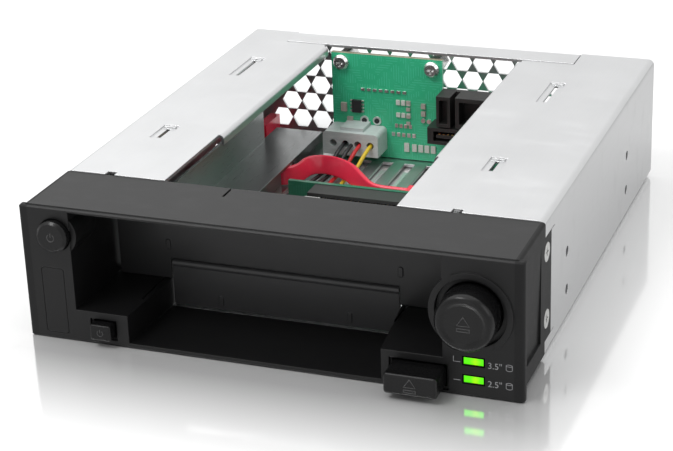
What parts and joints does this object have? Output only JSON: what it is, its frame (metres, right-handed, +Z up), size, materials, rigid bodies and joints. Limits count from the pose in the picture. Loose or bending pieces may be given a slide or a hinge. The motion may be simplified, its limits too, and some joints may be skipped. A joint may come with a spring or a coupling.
{
  "type": "hot swap drive cage",
  "caption": "Half-height bay cage with a black bezel, spring flaps, eject knob and push button, and an open-topped folded steel housing with a honeycomb back.",
  "frame": {"origin": "underside of the folded steel cage, centred in width, midway between the front and rear side-hole columns", "axes": "+X to the right seen from the bezel, +Y to the back, +Z up"},
  "size_m": [0.149, 0.1824, 0.0421],
  "materials": {
    "black_plastic": "fine moulded satin",
    "cage_steel": "satin galvanised sheet",
    "plated_steel": "bright plated",
    "lit_lens": "lit yellow-green window",
    "circuit_board": "green solder mask",
    "connector_black": "moulded nylon",
    "contact_gold": "gold flashed",
    "clear_nylon": "milky clear nylon",
    "ribbon_red": "soft glossy vinyl",
    "wire_yellow": "vinyl",
    "wire_red": "vinyl",
    "wire_black": "vinyl"
  },
  "bodies": {
    "cage": {"front_bezel": "black_plastic", "blank_insert": "black_plastic", "steel_cage": "cage_steel", "back_plate": "cage_steel", "left_rail": "cage_steel", "right_rail": "cage_steel", "rod_guides": "cage_steel", "lever_bracket": "cage_steel", "bay_door_pin": "plated_steel", "bay_door_spring": "plated_steel", "knob_spring": "plated_steel", "push_spring": "plated_steel", "upper_lever_pin": "plated_steel", "lower_lever_pin": "plated_steel", "board_standoffs": "plated_steel", "board_screws": "plated_steel", "bezel_screws": "plated_steel", "light_lens_lower": "lit_lens", "light_lens_upper": "lit_lens", "light_emitters": "lit_lens", "light_board": "circuit_board", "upper_switch_board": "circuit_board", "lower_switch_board": "circuit_board", "backplane_board": "circuit_board", "lower_board": "circuit_board", "press_switches": "connector_black", "upper_drive_socket": "connector_black", "lower_drive_socket": "connector_black", "power_header": "connector_black", "host_ports": "connector_black", "upper_socket_contacts": "contact_gold", "lower_socket_contacts": "contact_gold", "power_plug": "clear_nylon", "signal_ribbon": "ribbon_red", "ribbon_plugs": "ribbon_red", "wire_yellow": "wire_yellow", "wire_red": "wire_red", "wire_black_near": "wire_black", "wire_black_far": "wire_black"},
    "bay_door": {"bay_door": "black_plastic", "slot_door_pin": "plated_steel"},
    "slot_door": {"slot_door": "black_plastic"},
    "power_button_upper": {"power_button_upper": "black_plastic"},
    "power_button_lower": {"power_button_lower": "black_plastic"},
    "eject_knob": {"eject_knob": "black_plastic", "eject_rod_upper": "plated_steel"},
    "eject_button_lower": {"eject_button_lower": "black_plastic", "eject_rod_lower": "plated_steel"},
    "eject_lever_upper": {"eject_lever_upper": "plated_steel"},
    "eject_lever_lower": {"eject_lever_lower": "plated_steel"}
  },
  "joints": [
    {"name": "bay_door_hinge", "type": "hinge", "parent": "cage", "child": "bay_door", "pos_m": [-0.0052, -0.06302, 0.0381], "axis": [1, 0, 0], "range_deg": [0, 88], "stiffness_Nm_per_rad": 0.002, "springref_deg": -28.65},
    {"name": "slot_door_hinge", "type": "hinge", "parent": "bay_door", "child": "slot_door", "pos_m": [-0.0052, -0.06302, 0.0146], "axis": [1, 0, 0], "range_deg": [0, 85], "stiffness_Nm_per_rad": 0.0008, "springref_deg": -28.65},
    {"name": "power_press_upper", "type": "slide", "parent": "cage", "child": "power_button_upper", "axis": [0, 1, 0], "range_m": [0, 0.0012], "stiffness_N_per_m": 300, "springref_m": -0.001},
    {"name": "power_press_lower", "type": "slide", "parent": "cage", "child": "power_button_lower", "axis": [0, 1, 0], "range_m": [0, 0.001], "stiffness_N_per_m": 300, "springref_m": -0.001},
    {"name": "knob_press", "type": "slide", "parent": "cage", "child": "eject_knob", "axis": [0, 1, 0], "range_m": [0, 0.005], "stiffness_N_per_m": 250, "springref_m": -0.004, "deforming": ["knob_spring"]},
    {"name": "push_press", "type": "slide", "parent": "cage", "child": "eject_button_lower", "axis": [0, 1, 0], "range_m": [0, 0.006], "stiffness_N_per_m": 250, "springref_m": -0.004, "deforming": ["push_spring"]},
    {"name": "upper_lever_pivot", "type": "hinge", "parent": "cage", "child": "eject_lever_upper", "pos_m": [0.0523, 0.06087, 0.0243], "axis": [0, 0, 1], "range_deg": [0, 38]},
    {"name": "lower_lever_pivot", "type": "hinge", "parent": "cage", "child": "eject_lever_lower", "pos_m": [0.03685, 0.01238, 0.0043], "axis": [0, 0, 1], "range_deg": [0, 41.5]}
  ],
  "couplings": [
    {"joint": "upper_lever_pivot", "follows": "knob_press", "rad_per_m": 132},
    {"joint": "lower_lever_pivot", "follows": "push_press", "rad_per_m": 120}
  ]
}
